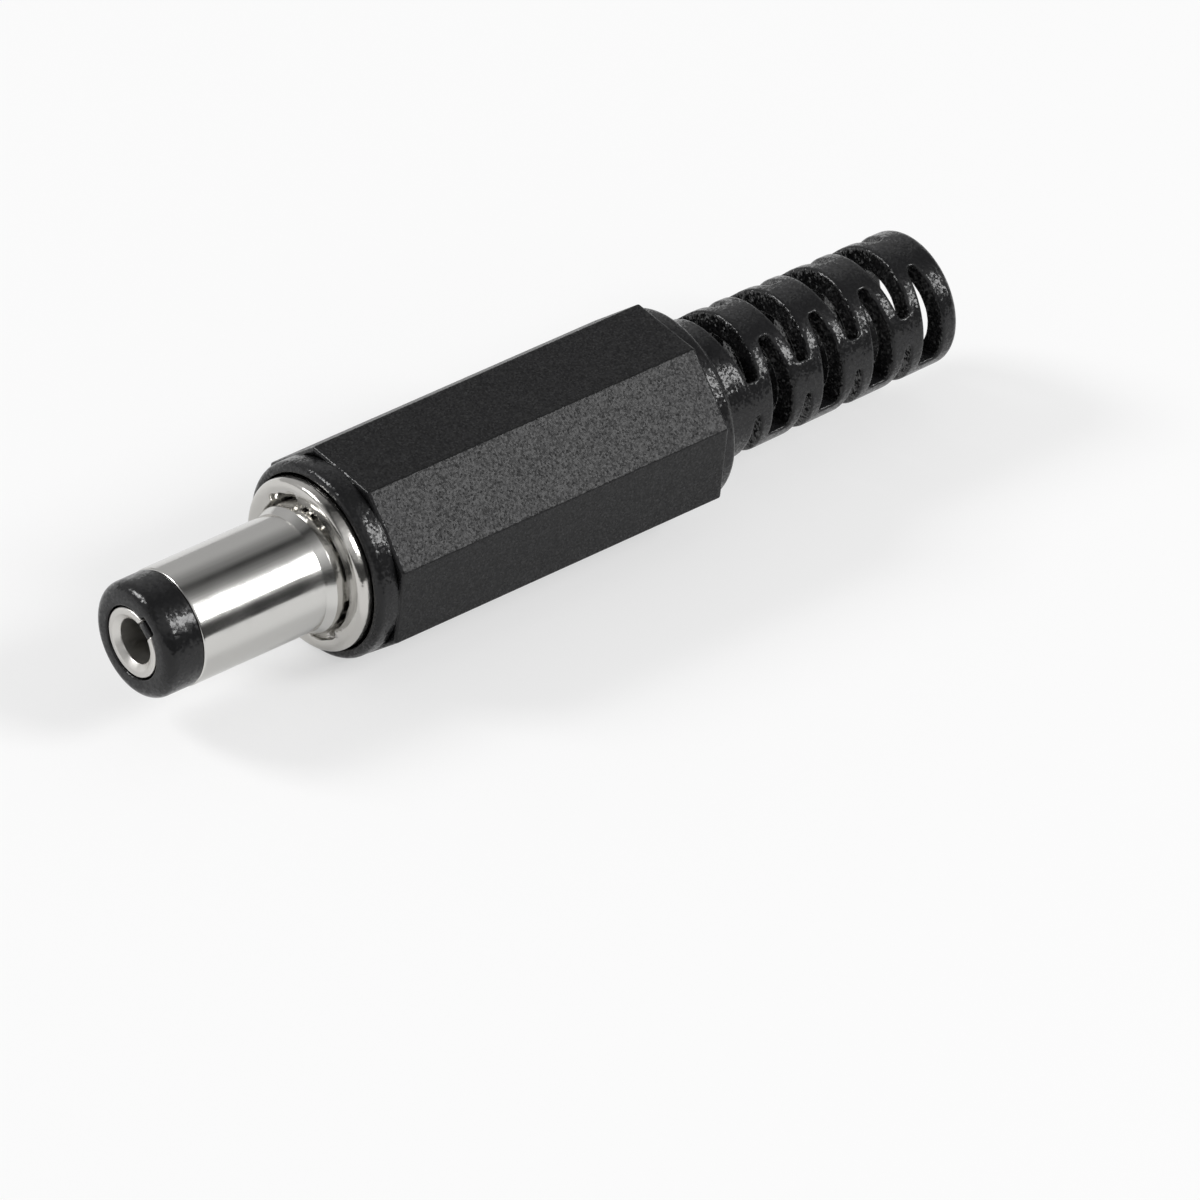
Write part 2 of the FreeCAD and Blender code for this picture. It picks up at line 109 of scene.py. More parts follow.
def rounded(corners, steps=5):
    """A closed outline with an arc at each corner. A corner is (x, r, rounding).

    The arc touches both sides at rounding / tan(half angle) from the corner, and its centre lies
    on the bisector at rounding / sin(half angle). Where two arcs need more than the side between
    them, both shrink. Seen from the centre, a point of the arc is the sum of its two ends, times
    sin((1 - share) turn) / sin(turn) and sin(share turn) / sin(turn).
    """
    corner, rounding = np.array(corners, float)[:, :2], np.array(corners, float)[:, 2]
    ahead = np.roll(corner, -1, axis=0) - corner
    length = np.hypot(*ahead.T)
    ahead = ahead / length[:, None]
    back = -np.roll(ahead, 1, axis=0)
    half = np.arccos(np.clip((back * ahead).sum(1), -1, 1)) / 2
    touch = rounding / np.tan(half)
    needed = np.maximum(touch + np.roll(touch, -1), SHARP)
    fit = np.minimum(1, MOST_OF_A_SIDE * length / needed)
    touch = touch * np.minimum(fit, np.roll(fit, 1))
    share = np.linspace(0, 1, steps + 1)[:, None]
    points = []
    for spot, out, inward, angle, reach in zip(corner, ahead, back, half, touch):
        if reach < SHARP:
            points.append(spot[None])
            continue
        centre = spot + (inward + out) / np.hypot(*(inward + out)) * reach / np.cos(angle)
        first, last = spot + inward * reach - centre, spot + out * reach - centre
        turn = np.pi - 2 * angle
        arc = np.sin((1 - share) * turn) * first + np.sin(share * turn) * last
        points.append(centre + arc / np.sin(turn))
    return np.vstack(points)


square = rounded([(0, 0, SOFT), (1, 0, SOFT), (1, 1, SOFT), (0, 1, 0)])
print("a square with three rounded corners has", len(square), "points")


# %% Rings and the faces between them
def full_turn(count):
    """Angles spaced evenly once round the axis."""
    return np.arange(count) * 2 * np.pi / count


def rings(x, radius, angles):
    """Points (x, r cos a, r sin a), one ring for each x, with one radius a ring or one a point."""
    radius = np.broadcast_to(np.reshape(radius, (len(x), -1)), (len(x), len(angles)))
    along = np.broadcast_to(np.reshape(x, (-1, 1)), radius.shape)
    return np.stack([along, radius * np.cos(angles), radius * np.sin(angles)], -1)


def ring_quads(count, around):
    """Quads from ring i to ring i + 1, and from the last back to the first, so the skin is closed.

    Point j of ring i has the number i * around + j.
    """
    here = np.arange(count)[:, None] * around
    after = np.roll(here, -1, axis=0)
    side = np.arange(around)[None]
    beside = np.roll(side, -1, axis=1)
    return np.stack([here + side, after + side, after + beside, here + beside], -1).reshape(-1, 4)


def turned(profile, around=192):
    """Points and quads of a closed profile carried once round the axis."""
    points = rings(profile[:, 0], profile[:, 1], full_turn(around))
    return points.reshape(-1, 3), ring_quads(len(profile), around)


print("the square turned round the axis has", len(turned(square)[1]), "faces")


# %% Turn points and quads into a piece
def settle(name, mesh, body, node):
    """An object for a mesh, shaded smoothly, that rides on a body in place of a node."""
    mesh.shade_smooth()
    piece = bpy.data.objects.new(name, mesh)
    bpy.context.scene.collection.objects.link(piece)
    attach(piece, body)
    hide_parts(node)
    print(name, "has", len(mesh.polygons), "faces")
    return piece


def new_piece(name, body, node, slot, *skins):
    """One mesh from one or more closed skins, with its faces pointing outwards."""
    points = np.vstack([skin[0] for skin in skins])
    starts = np.cumsum([0] + [len(skin[0]) for skin in skins[:-1]])
    quads = np.vstack([skin[1] + start for skin, start in zip(skins, starts)])
    mesh = bpy.data.meshes.new(name)
    mesh.from_pydata((points * MM).tolist(), [], quads.tolist())
    work = bmesh.new()
    work.from_mesh(mesh)
    bmesh.ops.remove_doubles(work, verts=work.verts, dist=1e-9)
    bmesh.ops.recalc_face_normals(work, faces=work.faces)
    work.to_mesh(mesh)
    work.free()
    piece = settle(name, mesh, body, node)
    even = piece.modifiers.new("even_shading", "WEIGHTED_NORMAL")
    even.weight = 60
    return piece


# %% [markdown]
# ## The barrel
# The barrel is a drawn brass tube. At its root it is thicker, where it was pushed into the collar,
# and its rear rim is clinched over the washer of the earth tag. Seen from the tip, its front edge
# is a soft rounded lip against the black nose. It is a plain solid of revolution, so one outline
# says all of it.

# %% Make the barrel
BARREL_WALL = 0.35
NECK_RADIUS = 2.95
NECK_FRONT = 0.45
NECK_CONE_FRONT = 0.85
NECK_CONE_ROUND = 0.2
SEAT_RADIUS = 2.65
SEAT_FRONT = -0.68
CLINCH_LENGTH = 0.35
bore = BARREL_RADIUS - BARREL_WALL
clinch_back = back_of("barrel")
clinch_front = clinch_back + CLINCH_LENGTH
barrel = new_piece("barrel_tube", "plug_core", "barrel", "barrel_metal", turned(rounded([
    (clinch_back, bore, SMALL),
    (front_of("barrel"), bore, CRISP),
    (front_of("barrel"), BARREL_RADIUS, SOFT),
    (NECK_CONE_FRONT, BARREL_RADIUS, NECK_CONE_ROUND),
    (NECK_FRONT, NECK_RADIUS, GENTLE),
    (SEAT_FRONT, NECK_RADIUS, CRISP),
    (SEAT_FRONT, SEAT_RADIUS, CRISP),
    (clinch_front, SEAT_RADIUS, CRISP),
    (clinch_front, top_of("barrel"), SMALL),
    (clinch_back, top_of("barrel"), ROLLED),
])))

# %% [markdown]
# ## The threaded collar
# The collar stops against the socket. Behind its flange runs the fine thread that the hood screws
# on. A thread is one formula: the depth of the groove depends on x / pitch + angle / one turn, so
# a grid over x and the angle holds it. It is shallow, and fades out near the flange.

# %% The thread as a formula
THREAD_PITCH = 0.75
THREAD_DEPTH = 0.26
THREAD_RUNOUT = 0.4
FLANK_RISE = 1.25
CREST_FLAT = 0.12
STATIONS_A_PITCH = 14


def thread_groove(x, angles, low, high):
    """Depth of the groove at each (x, angle).

    The phase x / pitch + angle / one turn gives a wave from 0 on the crest to 1 in the root. The
    wave is stretched and cut off, so that both are a little flat, and fades out near both ends.
    """
    phase = x[:, None] / THREAD_PITCH + angles[None] / (2 * np.pi)
    wave = np.abs(2 * (phase - np.floor(phase)) - 1)
    fade = np.clip(np.minimum(x - low, high - x) / THREAD_RUNOUT, 0, 1)[:, None]
    return THREAD_DEPTH * np.clip(FLANK_RISE * wave - CREST_FLAT, 0, 1) * fade


def thread_stations(low, high):
    """Places along a thread, the same number in each pitch."""
    return np.linspace(low, high, int((high - low) / THREAD_PITCH * STATIONS_A_PITCH))


print("a groove", THREAD_DEPTH, "deep in a pitch of", THREAD_PITCH)

# %% [markdown]
# The flange has a recess round the barrel, and two notches show where the collar was staked. The
# staking also left a ragged rim. So the radius of the recess's mouth varies round the axis: a few
# waves of different lengths for the burrs, and a step outwards in each notch.

# %% The mouth of the recess
RECESS_RADIUS = 3.12
STAKE_WIDTH = 1.9
STAKE_DEPTH = 0.28
STAKE_TURN = 122
BURRS = [(0.025, 5, 1), (0.022, 11, 0), (0.018, 23, 2)]
collar_angles = full_turn(256)


def notch_share(angles, turn, width, radius, ramp):
    """1 inside a notch of this width, 0 outside, with a short ramp at each side.

    The distance from the middle of the notch is radius * |sin(angle - turn)|, which is small on
    the opposite side of the axis too, so there are two notches.
    """
    across = np.abs(np.sin(angles - np.radians(turn))) * radius
    return np.clip((width / 2 - across) / ramp + 0.5, 0, 1)


stake = notch_share(collar_angles, STAKE_TURN, STAKE_WIDTH, RECESS_RADIUS, ROLLED)
burr = sum(height * np.sin(waves * collar_angles + start) for height, waves, start in BURRS)
mouth = RECESS_RADIUS + burr + STAKE_DEPTH * stake
print(f"radius of the mouth: {mouth.min():.2f} to {mouth.max():.2f}")

# %% Make the threaded collar
FLANGE_LENGTH = 0.95
FLANGE_ROUND = 0.28
FLANGE_FILLET = 0.04
THREAD_RADIUS = 3.6
THREAD_SET_BACK = 0.05
THREAD_CHAMFER = 0.3
RECESS_DEPTH = 0.7
MOUTH_EDGE_LENGTH = 0.06
flange_radius = top_of("threaded_collar")
thread_front = -FLANGE_LENGTH - THREAD_SET_BACK
thread_end = back_of("threaded_collar")
outline = rounded([
    (0, RECESS_RADIUS, 0),
    (0, flange_radius, FLANGE_ROUND),
    (-FLANGE_LENGTH, flange_radius, SOFT),
    (-FLANGE_LENGTH, THREAD_RADIUS, FLANGE_FILLET),
    (thread_front, THREAD_RADIUS, 0),
])[1:-1]
thread_x = thread_stations(thread_end + THREAD_CHAMFER, thread_front)[::-1]
groove = thread_groove(thread_x, collar_angles, thread_end - THREAD_RUNOUT, thread_front)
# From the flange back along the thread, then forwards again through the seat and the recess.
skin = np.vstack([rings(x, radius, collar_angles) for x, radius in (
    (outline[:, 0], outline[:, 1]),
    (thread_x, THREAD_RADIUS - groove),
    ([thread_end, thread_end], [THREAD_RADIUS - THREAD_CHAMFER, SEAT_RADIUS + SOFT]),
    ([thread_end + GENTLE, -RECESS_DEPTH], [SEAT_RADIUS + PRESS_GAP] * 2),
    ([-RECESS_DEPTH, -RECESS_DEPTH / 2], [RECESS_RADIUS] * 2),
    ([-RECESS_DEPTH / 2, -MOUTH_EDGE_LENGTH, 0], [mouth, mouth, mouth + SMALL]),
)])
collar = new_piece("collar_ring", "plug_core", "threaded_collar", "collar_metal",
                   (skin.reshape(-1, 3), ring_quads(len(skin), len(collar_angles))))

# %% [markdown]
# ## The nose
# The nose is moulded in glossy black plastic: a dome with the mouth of the pin's bore in it. A
# small key on its inside fills the slit of the contact, with a thin tongue in front that almost
# reaches the rim, and outside the tongue the mouth has a notch. The dome is a ring skin too, whose
# radius grows inside the notch. The key is a block that reaches into it, and the tongue a thinner
# block that stands out of the key.

# %% The dome and its notch
NOSE_SHRINK = 0.04
NOSE_ROUND = 0.6
SHOULDER_ROUND = 0.06
CONTACT_RADIUS = top_of("centre_contact")
CONTACT_GAP = 0.08
SLIT_WIDTH = 0.85
SLIT_TURN = 58
NOTCH_DEPTH = 0.45
NOTCH_HEIGHT = 0.3
NOTCH_REACH = 0.25
NOTCH_FADE = 0.2
NOTCH_RAMP = 0.06
NOTCH_ROWS = 14
ARC_STEPS = 10
tip = front_of("tip_insulator")
nose_back = back_of("tip_insulator")
shoulder = front_of("barrel") + PRESS_GAP
mouth_radius = CONTACT_RADIUS + CONTACT_GAP
outline = rounded([
    (nose_back, mouth_radius, SMALL),
    (tip, mouth_radius, SOFT),
    (tip, BARREL_RADIUS - NOSE_SHRINK, NOSE_ROUND),
    (shoulder, BARREL_RADIUS - NOSE_SHRINK, SHOULDER_ROUND),
    (shoulder, bore - PRESS_GAP, FAINT),
    (nose_back, bore - PRESS_GAP, SOFT),
], steps=ARC_STEPS)
# The outline has no points between its first two corners, where the notch starts. So the arc of
# the first corner goes to the end of the list, and rows of points come before the second one.
outline = np.roll(outline, -(ARC_STEPS + 1), axis=0)
rows = np.linspace(tip - 2 * NOTCH_DEPTH, tip - ROLLED, NOTCH_ROWS)
outline = np.vstack([np.stack([rows, np.full(NOTCH_ROWS, mouth_radius)], 1), outline])
along, around = outline[:, :1], outline[:, 1:]
in_front = np.clip((along - (tip - NOTCH_DEPTH)) / NOTCH_RAMP + 0.5, 0, 1)
near_mouth = np.clip((mouth_radius + NOTCH_REACH - around) / NOTCH_FADE, 0, 1)
nose_angles = full_turn(288)
this_side = np.cos(nose_angles - np.radians(SLIT_TURN)) > 0
notch = notch_share(nose_angles, SLIT_TURN, SLIT_WIDTH, mouth_radius, GENTLE) * this_side
dome = rings(along, around + NOTCH_HEIGHT * in_front * near_mouth * notch, nose_angles)
nose_skin = dome.reshape(-1, 3), ring_quads(len(outline), len(nose_angles))
print("the dome reaches from x", round(nose_back, 2), "to", round(tip, 2))

# %% Make the nose with its key and tongue
KEY_LENGTH = 1.4
KEY_GAP = 0.05
KEY_ROOT = 0.2
TONGUE_START = 0.3
TONGUE_SET_BACK = 0.1
TONGUE_DROP = 0.08


def key_block(x_low, x_high, r_low, r_high, width):
    """A block along the slit: six rings of a rounded rectangle, the first and last mere points.

    A corner (r, across) lies at r times the direction of the slit plus across times the direction
    square to it.
    """
    loop = rounded([(r_low, -width / 2, SMALL), (r_high, -width / 2, SMALL),
                    (r_high, width / 2, SMALL), (r_low, width / 2, SMALL)], steps=3)
    x = np.array([x_low, x_low, x_low + SMALL, x_high - SMALL, x_high, x_high])
    size = np.array([0, 0.9, 1, 1, 0.9, 0])
    ring = loop.mean(axis=0) + (loop - loop.mean(axis=0)) * size[:, None, None]
    slit = np.radians(SLIT_TURN)
    y = ring[..., 0] * np.cos(slit) - ring[..., 1] * np.sin(slit)
    z = ring[..., 0] * np.sin(slit) + ring[..., 1] * np.cos(slit)
    points = np.stack([np.broadcast_to(x[:, None], y.shape), y, z], -1)
    return points.reshape(-1, 3), ring_quads(len(x), len(loop))[:-len(loop)]


contact_front = front_of("centre_contact")
key_back = contact_front - KEY_LENGTH
key_foot = SOCKET_RADIUS + KEY_GAP
key_width = SLIT_WIDTH - 2 * KEY_GAP
key_skin = key_block(key_back, contact_front - NOTCH_DEPTH,
                     key_foot, mouth_radius + KEY_ROOT, key_width)
tongue_skin = key_block(key_back + TONGUE_START, contact_front - TONGUE_SET_BACK,
                        key_foot, CONTACT_RADIUS - TONGUE_DROP, key_width)
nose = new_piece("nose", "plug_core", "tip_insulator", "nose_moulding",
                 nose_skin, key_skin, tongue_skin)

# %% [markdown]
# ## The spring contact
# The contact is a turned brass tube, slit along one side so that it springs. The slit's walls are
# parallel, so at radius r it takes the half angle asin(slit / 2 / r). The slit part is therefore
# an open ring whose ends follow that formula, and the unslit part behind it is turned.

# %% The slit part of the contact
CONTACT_RIM = 0.3
FUNNEL_LENGTH = 0.22
SLIT_LENGTH = 5.0
STEPS_ROUND = 145
slit_end = tip - SLIT_LENGTH
section = rounded([
    (slit_end, SOCKET_RADIUS, FAINT),
    (contact_front - FUNNEL_LENGTH, SOCKET_RADIUS, SOFT),
    (contact_front, CONTACT_RADIUS - CONTACT_RIM, GENTLE),
    (contact_front, CONTACT_RADIUS, SOFT),
    (slit_end, CONTACT_RADIUS, FAINT),
])
along, around = section[:, :1], section[:, 1:]
half_slit = np.arcsin(SLIT_WIDTH / 2 / around)
share = np.linspace(0, 1, STEPS_ROUND)[None]
turn = np.radians(SLIT_TURN) + half_slit + share * (2 * np.pi - 2 * half_slit)
wall = np.stack([np.broadcast_to(along, turn.shape), around * np.cos(turn), around * np.sin(turn)],
                -1)
# Each wall of the slit closes to a point in its middle: a first and a last column of equal points.
ends = turn[:, [0, -1]]
middle_x, middle_r = section.mean(axis=0)
caps = np.stack([np.full(2, middle_x), middle_r * np.cos(ends).mean(axis=0),
                 middle_r * np.sin(ends).mean(axis=0)], -1)
caps = np.broadcast_to(caps, (len(section), 2, 3))
open_ring = np.concatenate([caps[:, :1], wall, caps[:, 1:]], axis=1)
columns = open_ring.shape[1]
open_quads = ring_quads(len(section), columns).reshape(-1, columns, 4)[:, :-1].reshape(-1, 4)
slit_skin = open_ring.reshape(-1, 3), open_quads
print("half the slit takes", np.degrees(half_slit.max()).round(1), "degrees at the bore")

# %% Make the spring contact
SOCKET_DEPTH = 11.2
TAIL_RADIUS = 0.75
TAIL_HEAD_LENGTH = 0.35
TAIL_HEAD_RADIUS = 1.15
TAIL_HEAD_ROUND = 0.2
SEAM_ROUND = 0.01
socket_back = contact_front - SOCKET_DEPTH
body_back = nose_back + PRESS_GAP
tail_back = back_of("centre_contact")
head_front = tail_back + TAIL_HEAD_LENGTH
tail_skin = turned(rounded([
    (tail_back, 0, 0),
    (socket_back, 0, 0),
    (socket_back, SOCKET_RADIUS, SOFT),
    (slit_end, SOCKET_RADIUS, SEAM_ROUND),
    (slit_end, CONTACT_RADIUS, SEAM_ROUND),
    (body_back, CONTACT_RADIUS, SOFT),
    (body_back, TAIL_RADIUS, SMALL),
    (head_front, TAIL_RADIUS, FAINT),
    (head_front, TAIL_HEAD_RADIUS, GENTLE),
    (tail_back, TAIL_HEAD_RADIUS, TAIL_HEAD_ROUND),
]), around=144)
contact = new_piece("spring_contact", "plug_core", "centre_contact", "contact_metal",
                    slit_skin, tail_skin)

# %% [markdown]
# ## The disc and the two solder tags
# Behind the barrel a moulded disc centres the tail of the contact. The two tags are stamped from
# tinned sheet. They show only when the hood is off, and their shape is right as it is, so each is
# a copy of its solid with a small bevel, the soft edge that a press tool leaves.

# %% Make the disc
DISC_FLANGE = 0.6
disc_front = nose_back - PRESS_GAP
disc_back = back_of("rear_insulator")
flange_front = disc_back + DISC_FLANGE
disc = new_piece("rear_disc", "plug_core", "rear_insulator", "disc_moulding", turned(rounded([
    (disc_back, TAIL_RADIUS + PRESS_GAP, SMALL),
    (disc_front, TAIL_RADIUS + PRESS_GAP, SMALL),
    (disc_front, bore - PRESS_GAP, SOFT),
    (flange_front, bore - PRESS_GAP, FAINT),
    (flange_front, top_of("rear_insulator"), GENTLE),
    (disc_back, top_of("rear_insulator"), ROLLED),
])))

# %% Make the tags
PRESSED_EDGE = 0.04
FLAT_ENOUGH = 2
EDGE_ANGLE = 35


def stamped(name, node):
    """A merged copy of a solid's mesh, with its flat faces joined and its edges bevelled."""
    work = bmesh.new()
    work.from_mesh(frame["nodes"][node].data)
    bmesh.ops.remove_doubles(work, verts=work.verts, dist=1e-7)
    bmesh.ops.dissolve_limit(work, angle_limit=np.radians(FLAT_ENOUGH),
                             verts=work.verts, edges=work.edges)
    mesh = bpy.data.meshes.new(name)
    work.to_mesh(mesh)
    work.free()
    piece = settle(name, mesh, "plug_core", node)
    bevel = piece.modifiers.new("pressed_edges", "BEVEL")
    bevel.width = PRESSED_EDGE * MM
    bevel.segments = 2
    bevel.limit_method = "ANGLE"
    bevel.angle_limit = np.radians(EDGE_ANGLE)
    piece.modifiers.new("even_shading", "WEIGHTED_NORMAL")
    return piece


centre_tag = stamped("centre_solder_tag", "centre_tag")
sleeve_lug = stamped("sleeve_solder_lug", "sleeve_lug")

# %% [markdown]
# ## The grip of the hood
# The hood is one moulding. Its front part is a single skin of rings: a round collar, the
# eight-sided grip and a second round collar. The section of the grip is a rounded octagon, which
# from the axis lies at a / cos(angle from the flat's middle), with a small arc at each corner.
# Rings go from circle to octagon and back, so the ears of the octagon stand out of the round
# collars as they do on the moulding.

# %% Rounded octagon, seen from the axis
SIDES = 8
CORNER_ROUND = 0.14
FLAT_POINTS = 30
CORNER_POINTS = np.array([0.33, 0.67, 1.0, 1.33, 1.67])
half_flat = top_of("hood")
half_side = np.pi / SIDES
flat_end = np.arctan((half_flat - CORNER_ROUND) * np.tan(half_side) / half_flat)
one_side = np.concatenate([np.linspace(-flat_end, flat_end, FLAT_POINTS),
                           flat_end + (half_side - flat_end) * CORNER_POINTS])
grip_angles = (np.arange(SIDES)[:, None] * 2 * half_side + one_side[None]).ravel()


def octagon(angles):
    """Distance from the axis to the rounded octagon.

    On a flat at distance a it is a / cos(angle from its middle). On a corner it is
    d cos(u) + sqrt(q^2 - d^2 sin^2(u)), where q is the rounding, d is how far the arc's centre
    lies from the axis, and u is the angle from the corner.
    """
    from_flat = (angles + half_side) % (2 * half_side) - half_side
    from_corner = half_side - np.abs(from_flat)
    centre = (half_flat - CORNER_ROUND) / np.cos(half_side)
    inside = np.maximum(CORNER_ROUND ** 2 - (centre * np.sin(from_corner)) ** 2, 0)
    arc = centre * np.cos(from_corner) + np.sqrt(inside)
    return np.where(np.abs(from_flat) <= flat_end + 1e-9, half_flat / np.cos(from_flat), arc)


eight = octagon(grip_angles)
print(f"radius of the octagon: {eight.min():.2f} on a flat, {eight.max():.2f} on a corner")

# %% The outside of the grip
# At both ends of the octagon its edge is a quarter circle, cut off by the round collar.
GRIP_FRONT = -1.66
GRIP_BACK = -20.2
COLLAR_RADIUS = 4.6
REAR_COLLAR_RADIUS = 4.58
EDGE = 0.135
GRIP_ROWS = 12
quarter = np.linspace(0, np.pi / 2, 7)
shrink = EDGE * (1 - np.sin(quarter))[:, None]
inset = EDGE * (1 - np.cos(quarter))
front_edge = rings(GRIP_FRONT - inset, np.maximum(COLLAR_RADIUS, eight - shrink), grip_angles)
length_x = np.linspace(GRIP_FRONT - 2 * EDGE, GRIP_BACK + 2 * EDGE, GRIP_ROWS)
eight_sides = rings(length_x, np.tile(eight, (GRIP_ROWS, 1)), grip_angles)
back_edge = rings(GRIP_BACK + inset[::-1],
                  np.maximum(REAR_COLLAR_RADIUS, eight - shrink[::-1]), grip_angles)
print("the octagon is", round(GRIP_FRONT - GRIP_BACK, 2), "long")

# %% Make the grip
LIP_ROUND = 0.34
FLANGE_GAP = 0.08
REAR_COLLAR_BACK = -20.95
REAR_COLLAR_ROUND = 0.32
CORD_ROOT_RADIUS = 2.35
THREAD_BORE = 3.65
THROAT_FRONT = -18.8
THROAT_ROUND = 0.3
NUT_BACK = -6.6
NUT_DEPTH = 0.8
lip = front_of("hood")
pocket = flange_radius + FLANGE_GAP
pocket_back = -FLANGE_LENGTH - PRESS_GAP
nut_front = pocket_back - SOFT
# The thread inside the hood has the collar's pitch, but is a little shallower.
nut_x = thread_stations(NUT_BACK, nut_front)
nut_r = THREAD_BORE + thread_groove(nut_x, grip_angles, NUT_BACK, nut_front) * NUT_DEPTH
front_collar = rounded([
    (pocket_back, pocket, SMALL),
    (lip, pocket, SOFT),
    (lip, COLLAR_RADIUS, LIP_ROUND),
    (GRIP_FRONT, COLLAR_RADIUS, FAINT),
], steps=7)
rear_collar = rounded([
    (GRIP_BACK, REAR_COLLAR_RADIUS, FAINT),
    (REAR_COLLAR_BACK, REAR_COLLAR_RADIUS, REAR_COLLAR_ROUND),
    (REAR_COLLAR_BACK, CORD_ROOT_RADIUS, 0),
    (GRIP_BACK, CORD_ROOT_RADIUS, SOFT),
    (THROAT_FRONT, THREAD_BORE, THROAT_ROUND),
    (THROAT_FRONT + 1, THREAD_BORE, 0),
], steps=7)[1:]
skin = np.vstack([
    rings(front_collar[:, 0], front_collar[:, 1], grip_angles),
    front_edge,
    eight_sides,
    back_edge,
    rings(rear_collar[:, 0], rear_collar[:, 1], grip_angles),
    rings(nut_x, nut_r, grip_angles),
])
grip = new_piece("hood_grip", "hood", "hood", "hood_moulding",
                 (skin.reshape(-1, 3), ring_quads(len(skin), len(grip_angles))))

# %% [markdown]
# ## The strain relief
# Sixteen slots go right through the wall of the relief, in two crossed pairs of rows half a pitch
# apart, so that it bends every way. All their edges are soft. Such a shape is easier to state than
# to stitch: its signed distance says how far a point lies outside the plastic, slots are taken
# away with a maximum, and rounding that maximum rounds every edge.

# %% Cuts, joins and slots as distances
SLOTS_IN_A_ROW = 4
FIRST_SLOT = -23.24
SLOT_PITCH = 2.98
SLOT_WIDTH = 1.28
SLOT_CORNER = 0.12
ROOT_RADIUS = 3.36
STEP_RADIUS = 3.97
MOUTH = (ROOT_RADIUS + STEP_RADIUS) / 2


def round_cut(a, b, radius):
    """What lies in both shapes, with a round edge where they meet.

    It is max(a, b), but where both are above -radius it is hypot(radius + a, radius + b) - radius,
    the distance to an arc.
    """
    corner = np.hypot(np.maximum(radius + a, 0), np.maximum(radius + b, 0))
    return np.minimum(-radius, np.maximum(a, b)) + corner


def round_join(a, b, radius):
    """What lies in either shape, with a fillet where they meet: a round cut turned inside out."""
    corner = np.hypot(np.maximum(radius - a, 0), np.maximum(radius - b, 0))
    return np.maximum(radius, np.minimum(a, b)) - corner


def nearest_slot(x, first):
    """Distance along the axis to the middle of the nearest slot of a row that starts at first."""
    number = np.clip(np.round((first - x) / SLOT_PITCH), 0, SLOTS_IN_A_ROW - 1)
    return np.abs(x - (first - number * SLOT_PITCH))


def wedge(across, height, floor, floor_width):
    """A slot whose walls slope: half its width grows evenly from the floor to the mouth.

    The distance to a wall is the distance across to it, divided by hypot(1, lean).
    """
    lean = (SLOT_WIDTH - floor_width) / 2 / (MOUTH - floor)
    wall = (across - floor_width / 2 - lean * (height - floor)) / np.hypot(1, lean)
    return round_cut(wall, floor - height, SLOT_CORNER)


last_slot = FIRST_SLOT - (SLOTS_IN_A_ROW - 0.5) * SLOT_PITCH
print("the slots lie between x", FIRST_SLOT, "and", round(last_slot, 2))

# %% The whole relief as a distance
END_RADIUS = 3.19
END_ROUND = 0.4
END_RING_LENGTH = 0.9
STEP_BACK = -21.3
ROOT_FILLET = 0.3
BORE_EDGE = 0.14
SLOT_EDGE = 0.13
TOP_FLOOR, TOP_FLOOR_WIDTH, TOP_HALF_SPAN = 1.3, 0.4, 2.62
LOW_FLOOR, LOW_FLOOR_WIDTH = -0.38, 0.25
SIDE_FLOOR, SIDE_FLOOR_WIDTH, SIDE_TOP, SIDE_BOTTOM = 0.85, 0.4, 2.94, -1.15
relief_back = back_of("hood")
end_ring_front = relief_back + END_RING_LENGTH


def relief_distance(points):
    """Millimetres from each point to the plastic of the relief, negative inside it.

    A cone with a step at its root, less a tapering bore, less the slots: one row cut from above,
    one from below, and one from each side half a pitch further back. The front is cut off flat
    where the grip begins.
    """
    x, y, z = points[..., 0], points[..., 1], points[..., 2]
    r = np.hypot(y, z)
    share = (STEP_BACK - x) / (STEP_BACK - relief_back)
    outside = r - ROOT_RADIUS - (END_RADIUS - ROOT_RADIUS) * share
    cone = round_cut(outside, relief_back - x, END_ROUND)
    step = round_cut(r - STEP_RADIUS, STEP_BACK - x, GENTLE)
    bore_share = np.clip((GRIP_BACK - x) / (GRIP_BACK - end_ring_front), 0, 1)
    hole = CORD_ROOT_RADIUS + (CORD_RADIUS - CORD_ROOT_RADIUS) * bore_share
    tube = round_cut(round_join(cone, step, ROOT_FILLET), hole - r, BORE_EDGE)
    row = nearest_slot(x, FIRST_SLOT)
    side_row = nearest_slot(x, FIRST_SLOT - SLOT_PITCH / 2)
    top = wedge(row, z, TOP_FLOOR, TOP_FLOOR_WIDTH)
    top = round_cut(top, np.abs(y) - TOP_HALF_SPAN, SLOT_CORNER)
    low = wedge(row, -z, LOW_FLOOR, LOW_FLOOR_WIDTH)
    side = wedge(side_row, np.abs(y), SIDE_FLOOR, SIDE_FLOOR_WIDTH)
    side = round_cut(side, np.maximum(z - SIDE_TOP, SIDE_BOTTOM - z), SLOT_CORNER)
    slots = np.minimum(np.minimum(top, low), side)
    return np.maximum(round_cut(tube, -slots, SLOT_EDGE), x - REAR_COLLAR_BACK)


print("on the axis the plastic is", round(relief_distance(np.array([-25, 0, 0])), 2), "away")

# %% [markdown]
# Surface nets wrap a mesh round the zero level of a distance. A grid of small cells fills the box.
# Each cell that the surface crosses gets one point, the mean of the places where the surface cuts
# the cell's edges, and each grid edge that it crosses gets one quad, between the four cells there.


